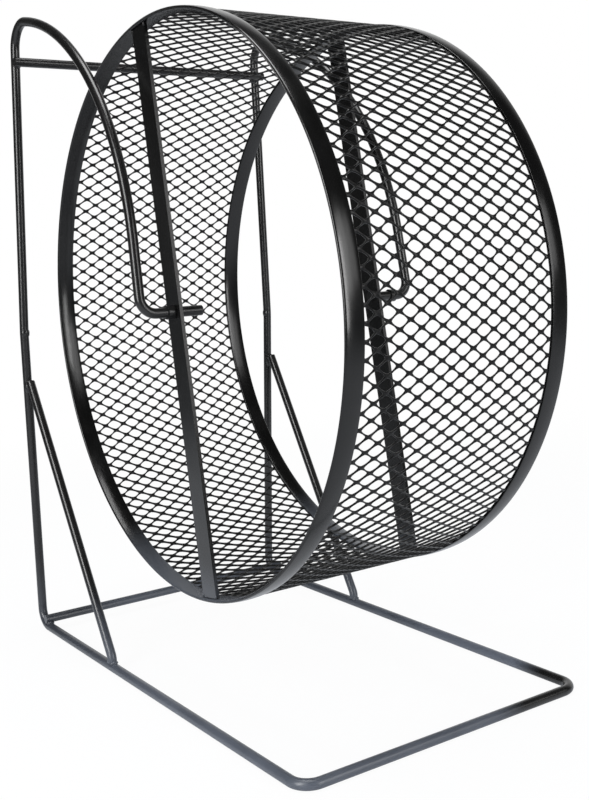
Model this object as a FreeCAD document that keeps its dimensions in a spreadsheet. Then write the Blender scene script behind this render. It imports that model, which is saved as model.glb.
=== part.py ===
import FreeCAD, Part
import Sketcher
import math
import os

doc = FreeCAD.newDocument("exercise_wheel")
sheet = doc.addObject("Spreadsheet::Sheet", "sizes")
Vector = FreeCAD.Vector

# Wheel: two folded rims, two crossbars and the mesh between them
wheel_radius = 140
wheel_width = 121
rim_band = 9.2
rim_sheet = 0.5
mesh_sheet = 0.8
mesh_gap = 0.1
mesh_end_gap = 0.3
mesh_edge = 0.5
mesh_long_pitch = 11.1
mesh_short_pitch = 7.27
opening_long = 8.3
opening_short = 5.4
crossbar_width = 12.7
crossbar_sheet = 1.8
left_crossbar_turn = 7.8
right_crossbar_turn = 9.3
left_crossbar_inset = 1.4
left_crossbar_trim = 2.3
right_crossbar_trim = 1

# Axle: the wheel lies against the left collar, with play on the right
axle_height = 192
axle_fit = 0.05
collar_gap = 0.3
wheel_shift = 4.9
collar_diameter = 6.7
collar_length = 3.5
collar_fit = 0.02
bare_stub = 2.4
left_stub_inside = 16.4
right_stub_inside = 1.2

# Stand: one rod size, bent and welded
rod_diameter = 5
hook_bend = 7.8
hook_rise = 26.2
hook_lean = 8.8
arch_radius = 150.5
top_bend = 13.3
base_rear = 160.9
base_front = 116.7
base_bend = 9.4
rear_gap = 0.2
front_bend = 9
front_inset = 0.9
joint_height = 179.25
joint_back = 149.25
joint_flare = 2.45
brace_drop = 22.25
brace_back = 142.35
brace_inset = 2
strut_drop = 28.6
strut_foot = 62.8
strut_rise = 3
strut_bend = 7
weld_gap = 0.02

# The same sizes as cells, which the pieces are bound to
sizes = {
    "wheel_radius": wheel_radius,
    "wheel_width": wheel_width,
    "rim_band": rim_band,
    "rim_sheet": rim_sheet,
    "mesh_sheet": mesh_sheet,
    "mesh_gap": mesh_gap,
    "mesh_end_gap": mesh_end_gap,
    "mesh_edge": mesh_edge,
    "mesh_long_pitch": mesh_long_pitch,
    "mesh_short_pitch": mesh_short_pitch,
    "opening_long": opening_long,
    "opening_short": opening_short,
    "crossbar_width": crossbar_width,
    "crossbar_sheet": crossbar_sheet,
    "left_crossbar_turn": left_crossbar_turn,
    "right_crossbar_turn": right_crossbar_turn,
    "left_crossbar_inset": left_crossbar_inset,
    "left_crossbar_trim": left_crossbar_trim,
    "right_crossbar_trim": right_crossbar_trim,
    "axle_height": axle_height,
    "axle_fit": axle_fit,
    "collar_gap": collar_gap,
    "wheel_shift": wheel_shift,
    "collar_diameter": collar_diameter,
    "collar_length": collar_length,
    "collar_fit": collar_fit,
    "bare_stub": bare_stub,
    "left_stub_inside": left_stub_inside,
    "right_stub_inside": right_stub_inside,
    "rod_diameter": rod_diameter,
    "hook_bend": hook_bend,
    "hook_rise": hook_rise,
    "hook_lean": hook_lean,
    "arch_radius": arch_radius,
    "top_bend": top_bend,
    "base_rear": base_rear,
    "base_front": base_front,
    "base_bend": base_bend,
    "rear_gap": rear_gap,
    "front_bend": front_bend,
    "front_inset": front_inset,
    "joint_height": joint_height,
    "joint_back": joint_back,
    "joint_flare": joint_flare,
    "brace_drop": brace_drop,
    "brace_back": brace_back,
    "brace_inset": brace_inset,
    "strut_drop": strut_drop,
    "strut_foot": strut_foot,
    "strut_rise": strut_rise,
    "strut_bend": strut_bend,
    "weld_gap": weld_gap,
}
for line, name in enumerate(sizes, 1):
    sheet.set("A%d" % line, name)
    sheet.set("B%d" % line, str(sizes[name]))
    sheet.setAlias("B%d" % line, name)
doc.recompute()


def value(name):
    return float(sheet.get(name))


rod = value("rod_diameter")
rodRadius = rod / 2
axleHeight = value("axle_height")
wheelSide = -value("wheel_shift")
halfWidth = value("wheel_width") / 2

# The stand is as wide as the wheel, its play, the collars and the hook bends need
hookText = ("(sizes.wheel_width / 2 + sizes.crossbar_sheet + sizes.collar_gap + sizes.wheel_shift"
            " + sizes.collar_length + sizes.bare_stub + sizes.hook_bend)")
collarFace = halfWidth + value("crossbar_sheet") + value("collar_gap") + value("wheel_shift")
hookHalf = collarFace + value("collar_length") + value("bare_stub") + value("hook_bend")
jointHalf = hookHalf + value("joint_flare")
frontHalf = hookHalf - value("front_inset")
jointHeight = value("joint_height")


def bentPath(points, radii):
    # straight runs joined by tangent arcs
    edges = []
    start = points[0]
    for k in range(1, len(points) - 1):
        corner = points[k]
        before = (points[k - 1] - corner).normalize()
        after = (points[k + 1] - corner).normalize()
        half = before.getAngle(after) / 2
        radius = radii[k - 1]
        reach = radius / math.tan(half)
        first = corner + before * reach
        last = corner + after * reach
        middle = corner + (before + after).normalize() * (radius / math.sin(half) - radius)
        edges.append(Part.LineSegment(start, first).toShape())
        edges.append(Part.Arc(first, middle, last).toShape())
        start = last
    edges.append(Part.LineSegment(start, points[-1]).toShape())
    return edges


def rodAlong(name, edges):
    # round rod swept along a path that starts with a straight run
    path = doc.addObject("Part::Feature", name + "_path")
    path.Shape = Part.Wire(edges)
    begin = edges[0].Vertexes[0].Point
    heading = edges[0].Vertexes[-1].Point - begin
    profile = doc.addObject("Part::Circle", name + "_section")
    profile.setExpression("Radius", "sizes.rod_diameter / 2")
    profile.Placement = FreeCAD.Placement(begin, FreeCAD.Rotation(Vector(0, 0, 1), heading))
    swept = doc.addObject("Part::Sweep", name)
    swept.Sections = [profile]
    swept.Spine = (path, ["Edge%d" % (k + 1) for k in range(len(edges))])
    swept.Solid = True
    swept.Frenet = False
    return swept


def trimmed(name, piece, low, high):
    # the rod ends are cut level where an arm is butt welded to its upright
    box = doc.addObject("Part::Box", name + "_trim")
    box.Length = 2 * value("base_rear") - value("joint_back") / 2
    box.Width = 4 * jointHalf
    box.Height = high - low
    box.Placement.Base = Vector(-2 * value("base_rear"), -2 * jointHalf, low)
    cut = doc.addObject("Part::Cut", name)
    cut.Base = piece
    cut.Tool = box
    return cut


# Lines of the uprights, below and above the joint
def corner(side):
    return Vector(-value("base_rear"), side * hookHalf, rodRadius)


def joint(side):
    return Vector(-value("joint_back"), side * jointHalf, jointHeight)


def onLower(side, height):
    step = (height - rodRadius) / (jointHeight - rodRadius)
    return corner(side) + (joint(side) - corner(side)) * step


def railHalf(back):
    step = (value("base_rear") - back) / (value("base_rear") + value("base_front"))
    return hookHalf + (frontHalf - hookHalf) * step


# Base rod: lower uprights, side rails and front rail in one
basePoints = []
basePoints.append(onLower(-1, jointHeight + rod))
basePoints.append(corner(-1))
basePoints.append(Vector(value("base_front"), -frontHalf, rodRadius))
basePoints.append(Vector(value("base_front"), frontHalf, rodRadius))
basePoints.append(corner(1))
basePoints.append(onLower(1, jointHeight + rod))
baseRadii = [value("base_bend"), value("front_bend"), value("front_bend"), value("base_bend")]
baseSweep = rodAlong("base_bar", bentPath(basePoints, baseRadii))
baseRod = trimmed("base_rod", baseSweep, jointHeight, jointHeight + 4 * rod)

# Arms: upper upright, arch, hook and axle stub, each bent in a leaning plane
arms = []
for side, label in ((-1, "left"), (1, "right")):
    hook = Vector(0, side * hookHalf, axleHeight)
    foot = joint(side)
    stubInside = value(label + "_stub_inside")
    stubEnd = wheelSide + side * (halfWidth - stubInside)
    leaning = math.radians(value("hook_lean"))
    straight = (value("hook_bend") + value("hook_rise")) * math.cos(leaning)
    archTop = axleHeight + straight + value("arch_radius") * (1 - math.sin(leaning))
    braceHeight = archTop - value("brace_drop")
    bracePoint = Vector(-value("brace_back"), side * (hookHalf - value("brace_inset")), braceHeight)
    normal = (bracePoint - foot).cross(hook - foot).normalize()
    up = normal.cross(Vector(1, 0, 0)).normalize()
    if up.z < 0:
        up = up * -1
    ahead = Vector(1, 0, 0) - normal * normal.x
    ahead.normalize()

    def flat(point):
        return Vector((point - hook).dot(ahead), (point - hook).dot(up), 0)

    def solid(point):
        return hook + ahead * point.x + up * point.y

    inward = Vector(0, -side, 0)
    climb = up * math.cos(leaning) - ahead * math.sin(leaning)
    half = inward.getAngle(climb) / 2
    reach = value("hook_bend") / math.tan(half)
    bendMiddle = (inward + climb).normalize() * (value("hook_bend") / math.sin(half) - value("hook_bend"))
    archRadius = value("arch_radius")
    topBend = value("top_bend")
    spoke = Vector(math.cos(leaning), math.sin(leaning), 0)
    archStart = Vector(-spoke.y, spoke.x, 0) * (reach + value("hook_rise"))
    archCentre = archStart - spoke * archRadius
    low = flat(foot)
    high = flat(bracePoint)
    rising = (high - low).normalize()
    front = Vector(rising.y, -rising.x, 0)
    beside = low + front * topBend
    gap = beside - archCentre
    along = gap.dot(rising)
    root = math.sqrt(along * along - gap.dot(gap) + (archRadius - topBend) ** 2)
    bendCentre = beside + rising * (root - along)
    radial = (bendCentre - archCentre).normalize()
    endTurn = math.atan2(radial.y, radial.x)
    halfTurn = (leaning + endTurn) / 2
    archMid = archCentre + Vector(math.cos(halfTurn), math.sin(halfTurn), 0) * archRadius
    archEnd = archCentre + radial * archRadius
    bendMid = bendCentre + (radial - front).normalize() * topBend
    bendEnd = bendCentre - front * topBend
    below = low - rising * rod
    edges = []
    edges.append(Part.LineSegment(Vector(0, stubEnd, axleHeight), hook + inward * reach).toShape())
    edges.append(Part.Arc(hook + inward * reach, hook + bendMiddle, hook + climb * reach).toShape())
    edges.append(Part.LineSegment(hook + climb * reach, solid(archStart)).toShape())
    edges.append(Part.Arc(solid(archStart), solid(archMid), solid(archEnd)).toShape())
    edges.append(Part.Arc(solid(archEnd), solid(bendMid), solid(bendEnd)).toShape())
    edges.append(Part.LineSegment(solid(bendEnd), solid(below)).toShape())
    armSweep = rodAlong(label + "_arm_bar", edges)
    arms.append(trimmed(label + "_arm_rod", armSweep, jointHeight - 4 * rod, jointHeight))

# Top brace: lies against the front of both uprights
lean = (value("joint_back") - value("brace_back")) / (braceHeight - jointHeight)
brace = doc.addObject("Part::Cylinder", "top_brace_rod")
brace.setExpression("Radius", "sizes.rod_diameter / 2")
brace.setExpression("Height", "2 * (" + hookText + " - sizes.brace_inset) + sizes.rod_diameter")
brace.Placement.Rotation = FreeCAD.Rotation(Vector(1, 0, 0), -90)
brace.setExpression("Placement.Base.x", "sizes.rod_diameter * %.8f - sizes.brace_back" % math.hypot(1, lean))
brace.setExpression("Placement.Base.y", "0 - " + hookText + " + sizes.brace_inset - sizes.rod_diameter / 2")
straightText = "(sizes.hook_bend + sizes.hook_rise) * cos(sizes.hook_lean * 1 deg)"
archText = "sizes.arch_radius * (1 - sin(sizes.hook_lean * 1 deg))"
brace.setExpression("Placement.Base.z",
                    "sizes.axle_height + %s + %s - sizes.brace_drop" % (straightText, archText))

# Rear floor rod: lies on the side rails, just ahead of their rear bends
bendAngle = (joint(1) - corner(1)).getAngle(Vector(value("base_front"), frontHalf, rodRadius) - corner(1))
rearAhead = value("base_bend") / math.tan(bendAngle / 2) + value("rear_gap")
rearHalf = railHalf(value("base_rear") - rearAhead)
rear = doc.addObject("Part::Cylinder", "rear_floor_rod")
rear.setExpression("Radius", "sizes.rod_diameter / 2")
rear.setExpression("Height", "2 * %.6f + sizes.rod_diameter" % rearHalf)
rear.Placement.Rotation = FreeCAD.Rotation(Vector(1, 0, 0), -90)
rear.setExpression("Placement.Base.x", "%.6f - sizes.base_rear" % rearAhead)
rear.setExpression("Placement.Base.y", "-%.6f - sizes.rod_diameter / 2" % rearHalf)
rear.setExpression("Placement.Base.z", "sizes.rod_diameter * 1.5")

# Struts: from the front of each upright down to a short upright foot on the side rail
struts = []
for side, label in ((-1, "left"), (1, "right")):
    upright = onLower(side, jointHeight - value("strut_drop"))
    footHalf = railHalf(value("strut_foot"))
    bottom = Vector(-value("strut_foot"), side * footHalf, rod)
    knee = bottom + Vector(0, 0, value("strut_rise"))
    slope = math.atan2(knee.x - upright.x - rod, upright.z - knee.z)
    top = upright + Vector(rodRadius * (1 + math.cos(slope)) + value("weld_gap"), 0, 0)
    path = bentPath([top, knee, bottom], [value("strut_bend")])
    struts.append(rodAlong(label + "_strut", path))


def ring(label, outer, inner, length, place):
    # plain ring about the axle line, starting at its left face
    body = doc.addObject("Part::Cylinder", label + "_body")
    body.setExpression("Radius", outer)
    body.setExpression("Height", length)
    bore = doc.addObject("Part::Cylinder", label + "_bore")
    bore.setExpression("Radius", inner)
    bore.setExpression("Height", length)
    cut = doc.addObject("Part::Cut", label)
    cut.Base = body
    cut.Tool = bore
    cut.Placement.Rotation = FreeCAD.Rotation(Vector(1, 0, 0), -90)
    cut.setExpression("Placement.Base.y", place)
    cut.setExpression("Placement.Base.z", "sizes.axle_height")
    return cut


# Collars: fixed on the stubs outside the wheel
leftFace = "(sizes.wheel_width / 2 + sizes.wheel_shift - sizes.left_crossbar_inset + sizes.collar_gap)"
rightFace = "(sizes.wheel_width / 2 + sizes.crossbar_sheet + sizes.collar_gap + sizes.wheel_shift)"
collarOuter = "sizes.collar_diameter / 2"
collarInner = "sizes.rod_diameter / 2 + sizes.collar_fit"
leftCollar = ring("left_axle_collar", collarOuter, collarInner, "sizes.collar_length",
                  "0 - " + leftFace + " - sizes.collar_length")
rightCollar = ring("right_axle_collar", collarOuter, collarInner, "sizes.collar_length", rightFace)

# Mesh: a many-sided drum, each flat side two pitches long
meshOuter = value("wheel_radius") - value("rim_sheet") - value("mesh_gap")
sections = round(2 * math.pi * meshOuter / (6 * value("mesh_short_pitch")))
sides = 3 * sections
halfAngle = math.pi / sides
outerFlat = meshOuter * math.cos(halfAngle)
innerFlat = outerFlat - value("mesh_sheet")
rowStep = (outerFlat + innerFlat) / 2 * math.tan(halfAngle) / 2
meshHalf = halfWidth - value("rim_sheet") - value("mesh_end_gap")
longHalf = value("opening_long") / 2
shortHalf = value("opening_short") / 2


def loop(points):
    return Part.makePolygon(points + [points[0]])


# one flat side, facing up, with its rows of diamond openings
reachOut = 3 * rowStep + shortHalf
edge = [Vector(-reachOut, -meshHalf, innerFlat), Vector(reachOut, -meshHalf, innerFlat)]
edge += [Vector(reachOut, meshHalf, innerFlat), Vector(-reachOut, meshHalf, innerFlat)]
wires = [loop(edge)]
columns = math.ceil(meshHalf / value("mesh_long_pitch"))
for line in range(-2, 3):
    offset = 0.5 if line % 2 else 0.0
    for column in range(-columns, columns + 1):
        across = (column + offset) * value("mesh_long_pitch")
        if abs(across) + longHalf > meshHalf - value("mesh_edge"):
            continue
        middle = Vector(line * rowStep, across, innerFlat)
        tips = [middle + Vector(-shortHalf, 0, 0), middle + Vector(0, -longHalf, 0)]
        tips += [middle + Vector(shortHalf, 0, 0), middle + Vector(0, longHalf, 0)]
        wires.append(loop(tips))
panel = Part.Face(wires, "Part::FaceMakerBullseye").extrude(Vector(0, 0, value("mesh_sheet")))
wide = 2 * outerFlat * math.tan(halfAngle)
wedge = [Vector(0, -halfWidth, 0), Vector(wide, -halfWidth, 2 * outerFlat)]
wedge += [Vector(-wide, -halfWidth, 2 * outerFlat)]
panel = panel.common(Part.Face(loop(wedge)).extrude(Vector(0, 2 * halfWidth, 0)))
turned = []
for k in (-1, 0, 1):
    copy = panel.copy()
    copy.rotate(Vector(0, 0, 0), Vector(0, 1, 0), k * math.degrees(2 * halfAngle))
    turned.append(copy)
section = turned[0].fuse(turned[1:])
section = section.Solids[0]
drum = []
for k in range(sections):
    copy = section.copy()
    copy.rotate(Vector(0, 0, 0), Vector(0, 1, 0), k * 360.0 / sections)
    drum.append(copy)
mesh = doc.addObject("Part::Feature", "drum_mesh")
mesh.Shape = Part.makeCompound(drum)
mesh.Placement = FreeCAD.Placement(Vector(0, wheelSide, axleHeight), FreeCAD.Rotation())


# Rims: folded strip over the edge of the mesh, turned about the axle
def rim(label, flip):
    body = doc.addObject("PartDesign::Body", label)
    plane = [item for item in body.Origin.OriginFeatures if item.Role == "XY_Plane"][0]
    sketch = body.newObject("Sketcher::SketchObject", label + "_profile")
    sketch.AttachmentSupport = [(plane, "")]
    sketch.MapMode = "FlatFace"
    outer = "sizes.wheel_radius"
    outerIn = "sizes.wheel_radius - sizes.rim_sheet"
    flatShare = math.cos(halfAngle)
    innerOut = "(%s - sizes.mesh_gap) * %.10f - sizes.mesh_sheet - sizes.mesh_gap" % (outerIn, flatShare)
    innerIn = innerOut + " - sizes.rim_sheet"
    face = "sizes.wheel_width / 2"
    web = "sizes.wheel_width / 2 - sizes.rim_sheet"
    lip = "sizes.wheel_width / 2 - sizes.rim_band"
    spots = [(innerIn, lip), (innerOut, lip), (innerOut, web), (outerIn, web)]
    spots += [(outerIn, lip), (outer, lip), (outer, face), (innerIn, face)]
    outR = value("wheel_radius")
    inR = outR - value("rim_sheet")
    slotR = innerFlat - value("mesh_gap")
    radii = [slotR - value("rim_sheet"), slotR, slotR, inR, inR, outR, outR, slotR - value("rim_sheet")]
    lipAt = halfWidth - value("rim_band")
    webAt = halfWidth - value("rim_sheet")
    levels = [lipAt, lipAt, webAt, webAt, lipAt, lipAt, halfWidth, halfWidth]
    corners = [Vector(r, y, 0) for r, y in zip(radii, levels)]
    for k in range(8):
        sketch.addGeometry(Part.LineSegment(corners[k], corners[(k + 1) % 8]), False)
    for k in range(8):
        sketch.addConstraint(Sketcher.Constraint("Coincident", k, 2, (k + 1) % 8, 1))
    for k in range(8):
        across = sketch.addConstraint(Sketcher.Constraint("DistanceX", -1, 1, k, 1, corners[k].x))
        sketch.setExpression("Constraints[%d]" % across, spots[k][0])
        upward = sketch.addConstraint(Sketcher.Constraint("DistanceY", -1, 1, k, 1, corners[k].y))
        sketch.setExpression("Constraints[%d]" % upward, spots[k][1])
    turn = body.newObject("PartDesign::Revolution", label + "_turn")
    turn.Profile = sketch
    turn.ReferenceAxis = (sketch, ["V_Axis"])
    turn.Angle = 360
    body.Tip = turn
    body.Placement.Rotation = FreeCAD.Rotation(Vector(0, 0, 1), flip)
    body.setExpression("Placement.Base.y", "0 - sizes.wheel_shift")
    body.setExpression("Placement.Base.z", "sizes.axle_height")
    return body


leftRim = rim("left_rim", 180)
rightRim = rim("right_rim", 0)


# Crossbars: flat strips, the left one inside its rim and the right one on the outer face of its rim
def crossbar(label, place):
    strip = doc.addObject("Part::Box", label + "_strip")
    strip.setExpression("Length", "sizes.crossbar_width")
    strip.setExpression("Width", "sizes.crossbar_sheet")
    strip.setExpression("Height", "2 * sizes.wheel_radius")
    strip.setExpression("Placement.Base.x", "0 - sizes.crossbar_width / 2")
    strip.setExpression("Placement.Base.z", "0 - sizes.wheel_radius")
    disc = doc.addObject("Part::Cylinder", label + "_disc")
    disc.setExpression("Radius", "sizes.wheel_radius - sizes.%s_trim" % label)
    disc.setExpression("Height", "sizes.crossbar_sheet")
    disc.Placement.Rotation = FreeCAD.Rotation(Vector(1, 0, 0), -90)
    outline = doc.addObject("Part::Common", label + "_outline")
    outline.Base = strip
    outline.Tool = disc
    bore = doc.addObject("Part::Cylinder", label + "_bore")
    bore.setExpression("Radius", "sizes.rod_diameter / 2 + sizes.axle_fit")
    bore.setExpression("Height", "sizes.crossbar_sheet")
    bore.Placement.Rotation = FreeCAD.Rotation(Vector(1, 0, 0), -90)
    cut = doc.addObject("Part::Cut", label)
    cut.Base = outline
    cut.Tool = bore
    cut.Placement.Rotation = FreeCAD.Rotation(Vector(0, -1, 0), value(label + "_turn"))
    cut.setExpression("Placement.Base.y", place)
    cut.setExpression("Placement.Base.z", "sizes.axle_height")
    return cut


leftPlace = "0 - sizes.wheel_shift - sizes.wheel_width / 2 + sizes.left_crossbar_inset"
leftBar = crossbar("left_crossbar", leftPlace)
rightBar = crossbar("right_crossbar", "sizes.wheel_width / 2 - sizes.wheel_shift")

doc.recompute()
pieces = [baseRod] + arms + [brace, rear] + struts + [leftCollar, rightCollar]
pieces += [leftRim, rightRim, leftBar, rightBar, mesh]
for item in doc.Objects:
    if "Invalid" in item.State or "Error" in item.State:
        raise RuntimeError("%s failed: %s" % (item.Name, item.State))
for piece in pieces:
    if piece.Shape.isNull() or not piece.Shape.isValid() or piece.Shape.Volume <= 0:
        raise RuntimeError("%s has no sound shape" % piece.Label)

os.makedirs("parts", exist_ok=True)
for piece in pieces:
    piece.Shape.exportStep("parts/%s.step" % piece.Label)
    box = piece.Shape.BoundBox
    print("%-18s solids %2d volume %9.1f  x %.2f..%.2f  y %.2f..%.2f  z %.2f..%.2f" % (
        piece.Label, len(piece.Shape.Solids), piece.Shape.Volume,
        box.XMin, box.XMax, box.YMin, box.YMax, box.ZMin, box.ZMax))
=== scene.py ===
import bmesh
import bpy
import math
from mathutils import Matrix, Vector, noise


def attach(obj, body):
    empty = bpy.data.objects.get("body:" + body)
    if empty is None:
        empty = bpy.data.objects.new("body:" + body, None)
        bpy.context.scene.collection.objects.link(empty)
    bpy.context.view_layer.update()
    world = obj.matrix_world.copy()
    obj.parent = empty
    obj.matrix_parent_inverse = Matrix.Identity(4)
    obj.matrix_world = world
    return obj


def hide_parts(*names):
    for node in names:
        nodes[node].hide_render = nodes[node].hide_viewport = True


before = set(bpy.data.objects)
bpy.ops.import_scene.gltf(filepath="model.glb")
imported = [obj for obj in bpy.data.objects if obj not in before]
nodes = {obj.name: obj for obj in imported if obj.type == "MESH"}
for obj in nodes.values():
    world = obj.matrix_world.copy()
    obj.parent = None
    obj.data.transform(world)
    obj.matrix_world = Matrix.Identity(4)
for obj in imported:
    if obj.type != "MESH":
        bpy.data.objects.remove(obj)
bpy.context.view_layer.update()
scene = bpy.context.scene
scene.view_settings.view_transform = "Standard"
print("frame loaded:", len(nodes), "nodes")

# axle line and the wheel's middle on it, in metres, in the frame of the CAD
axle = {"height": 0.192, "wheelSide": -0.0049}
axlePoint = Vector((0, axle["wheelSide"], axle["height"]))


class Signal:
    # a socket of a node tree that can be used in sums
    def __init__(self, tree, socket=None):
        self.tree = tree
        self.socket = socket

    def make(self, kind, settings, sockets, out=0):
        node = self.tree.nodes.new(kind)
        for key, value in settings.items():
            setattr(node, key, value)
        for key, value in sockets.items():
            if isinstance(value, Signal):
                self.tree.links.new(value.socket, node.inputs[key])
            else:
                node.inputs[key].default_value = value
        return Signal(self.tree, node.outputs[out]) if node.outputs else None

    def math(self, operation, first, second):
        return self.make("ShaderNodeMath", {"operation": operation}, {0: first, 1: second})

    def __add__(self, other):
        return self.math("ADD", self, other)

    def __radd__(self, other):
        return self.math("ADD", other, self)

    def __sub__(self, other):
        return self.math("SUBTRACT", self, other)

    def __rsub__(self, other):
        return self.math("SUBTRACT", other, self)

    def __mul__(self, other):
        return self.math("MULTIPLY", self, other)

    def __rmul__(self, other):
        return self.math("MULTIPLY", other, self)

    def above(self, low, high):
        # 0 below low, 1 above high, eased between
        return self.make("ShaderNodeMapRange", {"interpolation_type": "SMOOTHSTEP"},
                         {0: self, 1: low, 2: high, 3: 0.0, 4: 1.0})

    def blend(self, first, second):
        # mixes two colours by this signal
        return self.make("ShaderNodeMix", {"data_type": "RGBA"}, {0: self, 6: first, 7: second}, 2)


def emptyTree(owner):
    owner.use_nodes = True
    owner.node_tree.nodes.clear()
    return Signal(owner.node_tree)


def paintedSteel(name, look, paintedReflection=None, paintedLowReflection=None):
    # sprayed enamel: black body, faint ripple, a little dust on faces that look up,
    # painted slate reflection of the floor low on the stand, and on the lowest faces of the rims and
    # crossbars
    material = bpy.data.materials.new(name)
    start = emptyTree(material)
    place = start.make("ShaderNodeTexCoord", {}, {}, "Object")

    def mottle(kind):
        scale, detail = look[kind + "Scale"], look[kind + "Detail"]
        return start.make("ShaderNodeTexNoise", {}, {"Vector": place, "Scale": scale, "Detail": detail})

    def along(vector, axis):
        return start.make("ShaderNodeSeparateXYZ", {}, {"Vector": vector}, axis)

    def farFrom(point):
        return start.make("ShaderNodeVectorMath", {"operation": "DISTANCE"}, {0: place, 1: point}, "Value")

    peel, ripple, cloud = mottle("peel"), mottle("ripple"), mottle("cloud")
    patches = cloud - look["cloudMiddle"]
    upward = along(start.make("ShaderNodeNewGeometry", {}, {}, "Normal"), "Z")
    dust = upward.above(*look["dustFacing"]) * cloud.above(*look["dustCloud"]) * look["dust"]
    enamel = cloud.above(*look["paleCloud"]).blend(look["deep"], look["pale"])
    colour = dust.blend(enamel, look["dustColour"])
    rough = look["rough"] + patches * look["roughSpread"] + dust * look["dustDull"]
    # painted reflection: slate colour low on the stand stands in for the pale floor mirrored in the rods,
    # strongest at the listed spots, weaker towards the rear, left off near the front right corner
    if paintedReflection:
        low = 1 - along(place, "Z").above(*paintedReflection["heights"])
        low = low * farFrom(paintedReflection["bareCorner"]).above(*paintedReflection["bare"])
        share = paintedReflection["rearShare"] + (1 - paintedReflection["rearShare"]) * along(place, "X").above(*paintedReflection["rear"])
        share = share + paintedReflection["thickShare"] * (1 - farFrom(paintedReflection["thickSpot"]).above(*paintedReflection["thick"]))
        share = share + paintedReflection["rearThickShare"] * (1 - farFrom(paintedReflection["rearSpot"]).above(*paintedReflection["rearThick"]))
        low = low * share
        colour = (low * (paintedReflection["amount"] + patches * paintedReflection["patchy"])).blend(colour, paintedReflection["colour"])
        rough = rough + low * paintedReflection["dull"]
    # painted reflection: slate colour on the lowest faces of the rims and crossbars, stronger where they
    # look up, stands in for the pale floor mirrored in them; it follows world height, so it stays at the
    # bottom in any pose of the wheel
    if paintedLowReflection:
        level = along(start.make("ShaderNodeNewGeometry", {}, {}, "Position"), "Z")
        paintedReflectionShare = (1 - level.above(*paintedLowReflection["heights"])) * upward.above(*paintedLowReflection["facing"])
        colour = (paintedReflectionShare * paintedLowReflection["amount"]).blend(colour, paintedLowReflection["colour"])
    relief = peel * look["peel"] + ripple * look["ripple"]
    bump = start.make("ShaderNodeBump", {}, {"Strength": 1.0, "Distance": look["relief"], "Height": relief})
    shader = start.make("ShaderNodeBsdfPrincipled", {}, {
        "Base Color": colour, "Roughness": rough, "Normal": bump, "Specular IOR Level": look["gloss"]})
    start.make("ShaderNodeOutputMaterial", {}, {"Surface": shader})
    return material


rodLook = {"deep": (0.005, 0.005, 0.005, 1), "pale": (0.008, 0.008, 0.008, 1), "paleCloud": (0.35, 0.7),
           "cloudScale": 45.0, "cloudDetail": 3.0, "cloudMiddle": 0.5,
           "dust": 0.06, "dustColour": (0.05, 0.05, 0.05, 1), "dustDull": 0.5,
           "dustFacing": (0.2, 1.0), "dustCloud": (0.42, 0.75),
           "rough": 0.27, "roughSpread": 0.06, "gloss": 0.50, "relief": 0.0002,
           "peel": 0.002, "peelScale": 700.0, "peelDetail": 2.0,
           "ripple": 0.05, "rippleScale": 70.0, "rippleDetail": 1.0}
stripLook = dict(rodLook, deep=(0.0025, 0.0025, 0.0025, 1), pale=(0.0045, 0.0045, 0.0045, 1),
                 rough=0.19, roughSpread=0.05, gloss=0.42, peel=0.012, ripple=0.30)
meshLook = dict(rodLook, deep=(0.0025, 0.0025, 0.0025, 1), pale=(0.0045, 0.0045, 0.0045, 1),
                rough=0.32, gloss=0.22, dust=0.01, peel=0.008, ripple=0.0)
# painted reflection of the pale floor on the low rods: its slate colour, how much of it and where
lowRodPaintedReflection = {"colour": (0.095, 0.108, 0.135, 1), "amount": 0.75, "patchy": 0.4, "dull": 0.08,
              "heights": (0.0, 0.050), "rear": (-0.17, 0.0), "rearShare": 0.42,
              "bareCorner": (0.1167, 0.0680, 0.0025), "bare": (0.022, 0.046),
              "thickSpot": (0.045, 0.0815, 0.0025), "thick": (0.020, 0.060), "thickShare": 0.55,
              "rearSpot": (-0.150, 0.0, 0.0075), "rearThick": (0.030, 0.062), "rearThickShare": 0.50}
# painted reflection of the pale floor low on the rims and crossbars: its slate colour, how much of it and
# where
rimPaintedReflection = {"colour": (0.098, 0.108, 0.128, 1), "amount": 0.75,
           "heights": (0.054, 0.077), "facing": (-1.0, 0.9)}
rodPaint = paintedSteel("rodPaint", rodLook, lowRodPaintedReflection)
stripPaint = paintedSteel("stripPaint", stripLook, paintedLowReflection=rimPaintedReflection)
meshPaint = paintedSteel("meshPaint", meshLook)
for nodeObject in nodes.values():
    nodeObject.data.materials.clear()
    nodeObject.data.materials.append(rodPaint)
print("paint done")

samePlace = 1e-7  # points this close, in metres, are one


def meshObject(name, points, faces, material, body):
    data = bpy.data.meshes.new(name)
    data.from_pydata(points, [], faces)
    data.validate()
    shape = bmesh.new()
    shape.from_mesh(data)
    bmesh.ops.dissolve_degenerate(shape, dist=samePlace, edges=shape.edges)
    shape.to_mesh(data)
    shape.free()
    data.shade_smooth()
    data.materials.append(material)
    made = bpy.data.objects.new(name, data)
    scene.collection.objects.link(made)
    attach(made, body)
    return made


def onDrum(radius, across, angle):
    return axlePoint + Vector((radius * math.sin(angle), across, radius * math.cos(angle)))


# drum mesh: rounded diamond openings between flat strands
drum = {"radius": 0.13887, "pitchLong": 0.0112, "rows": 244, "turn": math.radians(1.29), "slide": 0.0056,
        "edge": 0.0597, "fold": 0.0513, "pressed": 0.5,
        "openLong": 0.0083, "openShort": 0.0053, "power": 1.35, "steps": 4,
        "ridge": 0.00052, "shoulder": 0.00042, "inset": 0.00016, "tilt": 0.045}


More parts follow.
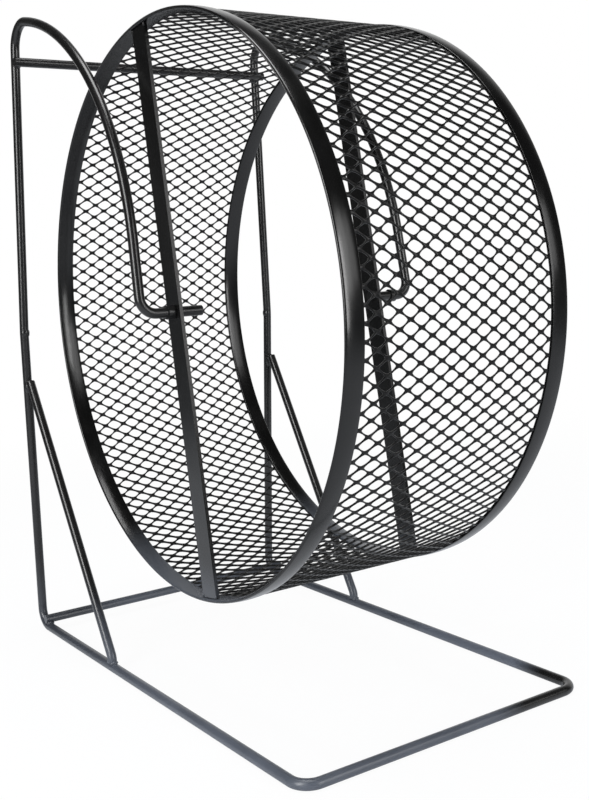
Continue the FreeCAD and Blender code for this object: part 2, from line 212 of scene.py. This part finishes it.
def expandedSheet(piece):
    halfLong = piece["pitchLong"] / 2
    halfShort = 2 * math.pi / piece["rows"] * piece["radius"]
    points, faces, known = [], [], {}

    def point(key, across, along, lift):
        # along runs round the drum, lift stands out from the sheet
        if key in known:
            return known[key]
        across = max(-piece["edge"], min(piece["edge"], across + piece["slide"]))
        if abs(across) > piece["fold"]:
            lift *= piece["pressed"]
        points.append(onDrum(piece["radius"] + lift, across, along / piece["radius"] + piece["turn"]))
        if key is not None:
            known[key] = len(points) - 1
        return len(points) - 1

    quarter, power = piece["steps"], piece["power"]
    columns = math.ceil((piece["edge"] + abs(piece["slide"])) / halfLong)
    corners = ((1, 0), (0, 1), (-1, 0), (0, -1), (1, 0))
    for row in range(piece["rows"]):
        for column in range(-columns, columns + 1):
            middleAcross, middleAlong = column * halfLong, row * halfShort
            if (row + column) % 2 or abs(middleAcross + piece["slide"]) > piece["edge"]:
                continue
            rings = []
            for k in range(4 * quarter):
                side, step = divmod(k, quarter)
                share = step / quarter
                towardAcross = corners[side][0] * (1 - share) + corners[side + 1][0] * share
                towardAlong = corners[side][1] * (1 - share) + corners[side + 1][1] * share
                ridgeAcross = middleAcross + towardAcross * halfLong
                ridgeAlong = middleAlong + towardAlong * halfShort
                scale = (abs(towardAcross) ** power + abs(towardAlong) ** power) ** (-1 / power)
                wall = (towardAcross * scale * piece["openLong"] / 2,
                        towardAlong * scale * piece["openShort"] / 2)
                grow = 1 + piece["inset"] / math.hypot(wall[0], wall[1])
                tilt = piece["tilt"] * wall[1]
                crossing = (round(ridgeAcross / halfLong * quarter),
                            round(ridgeAlong / halfShort * quarter) % (piece["rows"] * quarter))
                shoulder = (middleAcross + wall[0] * grow, middleAlong + wall[1] * grow)
                rings.append((
                    point(crossing + (1,), ridgeAcross, ridgeAlong, piece["ridge"]),
                    point(None, shoulder[0], shoulder[1], piece["shoulder"] + tilt),
                    point(None, middleAcross + wall[0], middleAlong + wall[1], tilt),
                    point(None, shoulder[0], shoulder[1], tilt - piece["shoulder"]),
                    point(crossing + (-1,), ridgeAcross, ridgeAlong, -piece["ridge"])))
            for k, here in enumerate(rings):
                there = rings[(k + 1) % len(rings)]
                for j in range(len(here) - 1):
                    faces.append((here[j], here[j + 1], there[j + 1], there[j]))
    return points, faces


sheetPoints, sheetFaces = expandedSheet(drum)
drumSheet = meshObject("drumSheet", sheetPoints, sheetFaces, meshPaint, "wheel")
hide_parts("drum_mesh")
print("drum mesh:", len(sheetFaces), "faces")

# rims: strip folded over the edge of the mesh, slightly crowned, with a rounded fold and rolled lips
rimShape = {"outer": 0.140, "inner": 0.13781, "sheet": 0.0005, "face": 0.0605, "lip": 0.0513, "fold": 0.0008,
            "crown": 0.0003, "segments": 256,
            "crownSteps": 6, "foldSteps": 4, "lipSteps": 6, "cornerSteps": 2}


def arc(centre, radius, start, end, steps):
    turns = [math.radians(start + (end - start) * k / steps) for k in range(steps + 1)]
    return [(centre[0] + radius * math.cos(t), centre[1] + radius * math.sin(t)) for t in turns]


def crowned(edge, crown, start, end, steps):
    # points between the two edges of a strip that bulges in the middle
    shares = [k / steps for k in range(1, steps)]
    return [(edge + crown * (1 - (2 * s - 1) ** 2), start + (end - start) * s) for s in shares]


def rimProfile(piece):
    # closed loop of (radius, across): the fold, the inner leg, the slot between the legs, the outer leg
    sheet, face, lip, fold, crown = (piece[k] for k in ("sheet", "face", "lip", "fold", "crown"))
    crownSteps, foldSteps = piece["crownSteps"], piece["foldSteps"]
    lipSteps, cornerSteps = piece["lipSteps"], piece["cornerSteps"]
    outer, inner = piece["outer"] - crown, piece["inner"] + crown
    half = sheet / 2
    loop = arc((outer - fold, face - fold), fold, 0, 90, foldSteps)
    loop += arc((inner + fold, face - fold), fold, 90, 180, foldSteps)
    loop += crowned(inner, -crown, face - fold, lip + half, crownSteps)
    loop += arc((inner + half, lip + half), half, 180, 360, lipSteps)
    loop += arc((inner + sheet + half, face - sheet - half), half, 180, 90, cornerSteps)
    loop += arc((outer - sheet - half, face - sheet - half), half, 90, 0, cornerSteps)
    loop += arc((outer - half, lip + half), half, 180, 360, lipSteps)
    loop += crowned(outer, crown, lip + half, face - fold, crownSteps)
    return loop


def lathe(loop, segments, side):
    points, faces = [], []
    count = len(loop)
    for k in range(segments):
        angle = 2 * math.pi * k / segments
        points += [onDrum(radius, side * across, angle) for radius, across in loop]
    for k in range(segments):
        here, there = k * count, (k + 1) % segments * count
        for j in range(count):
            quad = (here + j, there + j, there + (j + 1) % count, here + (j + 1) % count)
            faces.append(quad if side > 0 else quad[::-1])
    return points, faces


for side, label in ((-1, "left"), (1, "right")):
    rimPoints, rimFaces = lathe(rimProfile(rimShape), rimShape["segments"], side)
    rim = meshObject(label + "RimStrip", rimPoints, rimFaces, stripPaint, "wheel")
    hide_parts(label + "_rim")
print("rims done")

# crossbars, rods and collars keep their CAD shape, with the sharp edges eased
easing = {"crossbar": 0.00025, "arm_rod": 0.0005, "collar": 0.0003,
          "strut": 0.0003, "brace": 0.0004, "floor_rod": 0.0004}
easedEdge = {"segments": 2, "angle": math.radians(50)}
for nodeName, nodeObject in nodes.items():
    for part, width in easing.items():
        if part in nodeName:
            edge = nodeObject.modifiers.new("easedEdge", "BEVEL")
            edge.width = width
            edge.segments = easedEdge["segments"]
            edge.limit_method = "ANGLE"
            edge.angle_limit = easedEdge["angle"]
            edge.harden_normals = True
    if "crossbar" in nodeName:
        nodeObject.data.materials[0] = stripPaint
print("edges eased")

# welds: lumpy beads where rods and strips meet
beadForm = {"rings": 10, "segments": 16, "lump": 0.16, "grain": 2.1, "scatter": 900}


def lumpyBead(points, faces, centre, size, aim=(0, 0, 1)):
    rings, segments = beadForm["rings"], beadForm["segments"]
    turn = Vector((0, 0, 1)).rotation_difference(Vector(aim))
    first = len(points)
    for i in range(rings + 1):
        polar = math.pi * i / rings
        for k in range(segments):
            around = 2 * math.pi * k / segments
            flat = math.sin(polar)
            ray = Vector((flat * math.cos(around), flat * math.sin(around), math.cos(polar)))
            grain = noise.noise(ray * beadForm["grain"] + Vector(centre) * beadForm["scatter"])
            swell = 1 + beadForm["lump"] * grain
            local = Vector(ray[j] * size[j] * swell for j in range(3))
            points.append(Vector(centre) + turn @ local)
    for i in range(rings):
        for k in range(segments):
            here, there = first + i * segments, first + (i + 1) * segments
            faces.append((here + k, there + k, there + (k + 1) % segments, here + (k + 1) % segments))


# back is behind the axle, half is out from the middle, apart is a bead's step from the middle of its pair
weld = {"rod": 0.005, "lean": (0.0117, 0.0024, 0.1768),
        "joint": {"back": 0.14925, "half": 0.0834, "height": 0.17925, "size": (0.00278, 0.00273, 0.0036)},
        "strut": {"back": 0.14864, "half": 0.08326, "height": 0.14775, "apart": 0.0012,
                  "size": (0.0015, 0.0013, 0.0040)},
        "foot": {"back": 0.0628, "half": 0.0808, "apart": 0.0019, "size": (0.0017, 0.0023, 0.0012)},
        "brace": {"back": 0.13985, "half": 0.0792, "height": 0.33081, "apart": 0.0014,
                  "size": (0.0014, 0.0022, 0.0015)},
        "rear": {"back": 0.15066, "half": 0.0812, "apart": 0.0014, "size": (0.0016, 0.0023, 0.0014)}}
weldPoints, weldFaces = [], []
for side in (-1, 1):
    upright = (weld["lean"][0], side * weld["lean"][1], weld["lean"][2])
    bead = weld["joint"]
    place = (-bead["back"], side * bead["half"], bead["height"])
    lumpyBead(weldPoints, weldFaces, place, bead["size"], upright)
    for edge in (-1, 1):
        bead = weld["strut"]
        place = (-bead["back"], side * bead["half"] + edge * bead["apart"], bead["height"])
        lumpyBead(weldPoints, weldFaces, place, bead["size"], upright)
        bead = weld["brace"]
        place = (-bead["back"], side * bead["half"], bead["height"] + edge * bead["apart"])
        lumpyBead(weldPoints, weldFaces, place, bead["size"])
        for bead in (weld["foot"], weld["rear"]):
            place = (-bead["back"] + edge * bead["apart"], side * bead["half"], weld["rod"])
            lumpyBead(weldPoints, weldFaces, place, bead["size"])
meshObject("standWelds", weldPoints, weldFaces, rodPaint, "stand")

spot = {"halfWidth": 0.0062, "size": (0.0007, 0.0007, 0.0012),
        "left": {"turn": math.radians(7.8), "face": -0.0639, "reach": 0.1371},
        "right": {"turn": math.radians(9.3), "face": 0.0557, "reach": 0.1377}}
spotPoints, spotFaces = [], []
for bar in (spot["left"], spot["right"]):
    middle = Vector((0, bar["face"], axle["height"]))
    for end in (-1, 1):
        for edge in (-1, 1):
            along = Vector((-math.sin(bar["turn"]), 0, math.cos(bar["turn"]))) * end
            across = Vector((along.z, 0, -along.x)) * edge
            place = along * bar["reach"] + across * spot["halfWidth"] + middle
            lumpyBead(spotPoints, spotFaces, place, spot["size"], along)
meshObject("barWelds", spotPoints, spotFaces, stripPaint, "wheel")
print("welds done")

# camera that took the picture, fitted to the edges in it; focal, centre and frame in pixels
view = {"right": (0.56881, 0.82102, -0.04886), "up": (-0.06346, 0.10304, 0.99265),
        "back": (0.82002, -0.56153, 0.11071), "place": (0.47454, -0.31246, 0.21554),
        "focal": 1110.47, "centre": (309.09, 379.80), "width": 589, "height": 800,
        "sensor": 36, "clipStart": 0.01}
cameraData = bpy.data.cameras.new("pictureCamera")
cameraData.sensor_width = view["sensor"]
cameraData.lens = view["focal"] * view["sensor"] / view["height"]
cameraData.shift_x = (view["width"] / 2 - view["centre"][0]) / view["height"]
cameraData.shift_y = (view["centre"][1] - view["height"] / 2) / view["height"]
cameraData.clip_start = view["clipStart"]
camera = bpy.data.objects.new("pictureCamera", cameraData)
axes = Matrix((view["right"], view["up"], view["back"])).transposed()
camera.matrix_world = Matrix.Translation(view["place"]) @ axes.to_4x4()
scene.collection.objects.link(camera)
scene.camera = camera

# studio: white paper for the camera; the paint mirrors paper behind it, a painted pool of light on the floor
# below it, and a dark room elsewhere
studio = {"behind": (-0.643, 0.766, 0.0), "room": 0.14, "ceiling": 0.04, "roomTop": (-0.02, 0.2),
          "paper": (1.0, 1.0, 1.0, 1), "paperShade": (0.82, 0.85, 0.90, 1), "far": (0.20, 0.21, 0.22, 1),
          "near": 0.35, "fade": 1.2,
          "floorWedge": (0.3, 0.6), "wallWedge": (0.47, 0.766), "wallTop": (0.45, 0.78),
          "shadow": 0.05, "shadowFade": (0.4, 1.0), "mirror": 0.6, "floorRadius": 30.0, "floorSides": 96}
turns = [2 * math.pi * k / studio["floorSides"] for k in range(studio["floorSides"])]
floorEdge = [(studio["floorRadius"] * math.cos(t), studio["floorRadius"] * math.sin(t), 0) for t in turns]
floorData = bpy.data.meshes.new("floor")
floorData.from_pydata(floorEdge, [], [range(studio["floorSides"])])
floor = bpy.data.objects.new("floor", floorData)
scene.collection.objects.link(floor)


def towardBack(tree, vector):
    sockets = {0: vector, 1: studio["behind"]}
    return tree.make("ShaderNodeVectorMath", {"operation": "DOT_PRODUCT"}, sockets, "Value")


floorPaint = bpy.data.materials.new("floorPaint")
ground = emptyTree(floorPaint)
floorPlace = ground.make("ShaderNodeTexCoord", {}, {}, "Object")
away = ground.make("ShaderNodeVectorMath", {"operation": "LENGTH"}, {0: floorPlace}, "Value")
heading = ground.make("ShaderNodeVectorMath", {"operation": "NORMALIZE"}, {0: floorPlace})
# painted pool of light: the floor is pale near the wheel and fades to the dark far colour away from it
paintedLitPool = 1 - away.above(studio["near"], studio["fade"])
paperAndPaintedPool = ground.math("MAXIMUM", paintedLitPool, towardBack(ground, heading).above(*studio["floorWedge"]))
seen = ground.make("ShaderNodeLightPath", {}, {}, "Is Camera Ray")
mirrored = ground.make("ShaderNodeLightPath", {}, {}, "Is Glossy Ray")
through = ground.make("ShaderNodeLightPath", {}, {}, "Is Transmission Ray")
clear = 1 - studio["shadow"] * (1 - away.above(*studio["shadowFade"]))
shade = paperAndPaintedPool.blend(studio["far"], studio["paperShade"])
matt = ground.make("ShaderNodeBsdfDiffuse", {}, {"Color": shade})
glow = ground.make("ShaderNodeEmission", {}, {"Color": seen.blend(shade, studio["paper"]), "Strength": 1.0})
glowing = seen * clear + (mirrored + through) * studio["mirror"]
shown = ground.make("ShaderNodeMixShader", {}, {0: glowing, 1: matt, 2: glow})
ground.make("ShaderNodeOutputMaterial", {}, {"Surface": shown})
floorData.materials.append(floorPaint)

world = bpy.data.worlds.new("studio")
scene.world = world
sky = emptyTree(world)
direction = sky.make("ShaderNodeTexCoord", {}, {}, "Generated")
rise = sky.make("ShaderNodeSeparateXYZ", {}, {"Vector": direction}, "Z")
paper = towardBack(sky, direction).above(*studio["wallWedge"]) * (1 - rise.above(*studio["wallTop"]))
room = studio["room"] - (studio["room"] - studio["ceiling"]) * rise.above(*studio["roomTop"])
looked = sky.make("ShaderNodeLightPath", {}, {}, "Is Camera Ray")
bright = looked + (1 - looked) * (room + paper * (1 - room))
backdrop = sky.make("ShaderNodeBackground", {}, {"Color": studio["paper"], "Strength": bright})
sky.make("ShaderNodeOutputWorld", {}, {"Surface": backdrop})

# softboxes round the wheel: azimuth from +X towards +Y, distances in metres, power in watts
lamps = {"leftBox": {"azimuth": -71, "away": 1.5, "height": 0.75, "width": 0.52, "tall": 1.40, "power": 28},
         "sideBox": {"azimuth": 15, "away": 1.5, "height": 0.35, "width": 0.20, "tall": 0.90, "power": 7.0},
         "rightBox": {"azimuth": 24, "away": 1.5, "height": 0.64, "width": 0.36, "tall": 0.70, "power": 3.0},
         "rimBox": {"azimuth": 37, "away": 1.5, "height": 0.64, "width": 0.28, "tall": 0.56, "power": 1.1},
         "overhead": {"azimuth": 0, "away": 0.0, "height": 1.5, "width": 0.7, "tall": 0.7, "power": 13}}
lampTarget = Vector((0, 0, 0.2))


def softbox(name, lamp):
    lampData = bpy.data.lights.new(name, "AREA")
    lampData.shape = "RECTANGLE"
    lampData.size, lampData.size_y = lamp["width"], lamp["tall"]
    lampData.energy = lamp["power"]
    made = bpy.data.objects.new(name, lampData)
    angle = math.radians(lamp["azimuth"])
    made.location = (lamp["away"] * math.cos(angle), lamp["away"] * math.sin(angle), lamp["height"])
    made.rotation_euler = (lampTarget - made.location).to_track_quat("-Z", "Y").to_euler()
    made.visible_camera = False
    scene.collection.objects.link(made)


for lampName, lamp in lamps.items():
    softbox(lampName, lamp)
print("camera, floor and light done")
